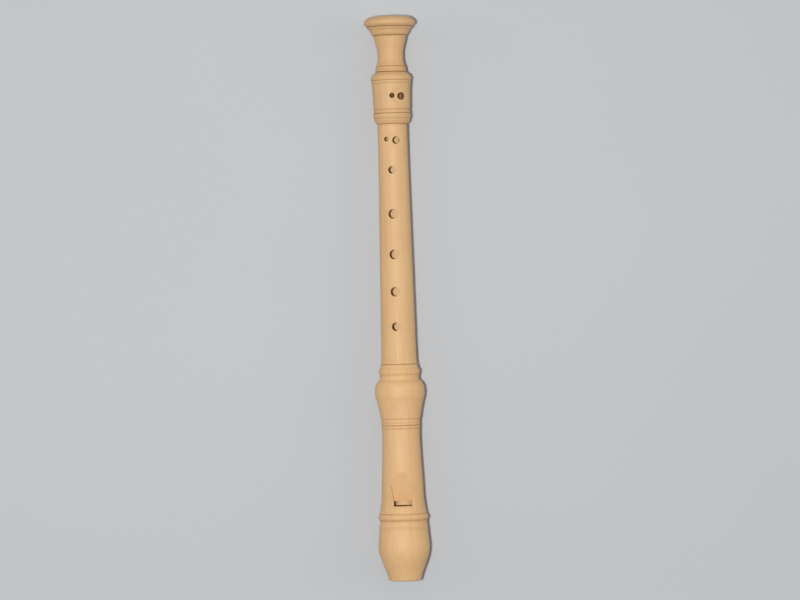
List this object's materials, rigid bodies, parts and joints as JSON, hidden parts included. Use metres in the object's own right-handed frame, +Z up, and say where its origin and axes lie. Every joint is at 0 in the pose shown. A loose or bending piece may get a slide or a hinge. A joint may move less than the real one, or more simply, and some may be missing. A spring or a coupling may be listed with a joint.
{
  "type": "soprano recorder",
  "caption": "Wooden soprano recorder with baroque turned profile: head with block, middle with finger holes, and foot, on cork-lapped tenons.",
  "frame": {"origin": "on the surface the recorder lies on, under the middle of its length", "axes": "+Y along the bore from the beak to the bell, +Z up out of the window, +X across, to the right seen from above with the bell away"},
  "size_m": [0.0298, 0.327, 0.0298],
  "materials": {
    "body_wood": "satin waxed, fine close grain",
    "block_wood": "unfinished red cedar",
    "cork": "greased sheet cork"
  },
  "bodies": {
    "middle": {"middle_joint": "body_wood"},
    "head_lapping": {"head_tenon_cork": "cork"},
    "head": {"head_joint": "body_wood"},
    "block": {"block": "block_wood"},
    "foot_lapping": {"foot_tenon_cork": "cork"},
    "foot": {"foot_joint": "body_wood"}
  },
  "joints": [
    {"name": "head_turn", "type": "hinge", "parent": "middle", "child": "head_lapping", "pos_m": [0, -0.0503, 0.0149], "axis": [0, 1, 0], "continuous": true},
    {"name": "head_pull", "type": "slide", "parent": "head_lapping", "child": "head", "axis": [0, -1, 0], "range_m": [0, 0.03]},
    {"name": "block_push_out", "type": "slide", "parent": "head", "child": "block", "axis": [0, -1, 0], "range_m": [0, 0.05]},
    {"name": "foot_turn", "type": "hinge", "parent": "middle", "child": "foot_lapping", "pos_m": [0, 0.1075, 0.0149], "axis": [0, 1, 0], "continuous": true},
    {"name": "foot_pull", "type": "slide", "parent": "foot_lapping", "child": "foot", "axis": [0, 1, 0], "range_m": [0, 0.02]}
  ]
}
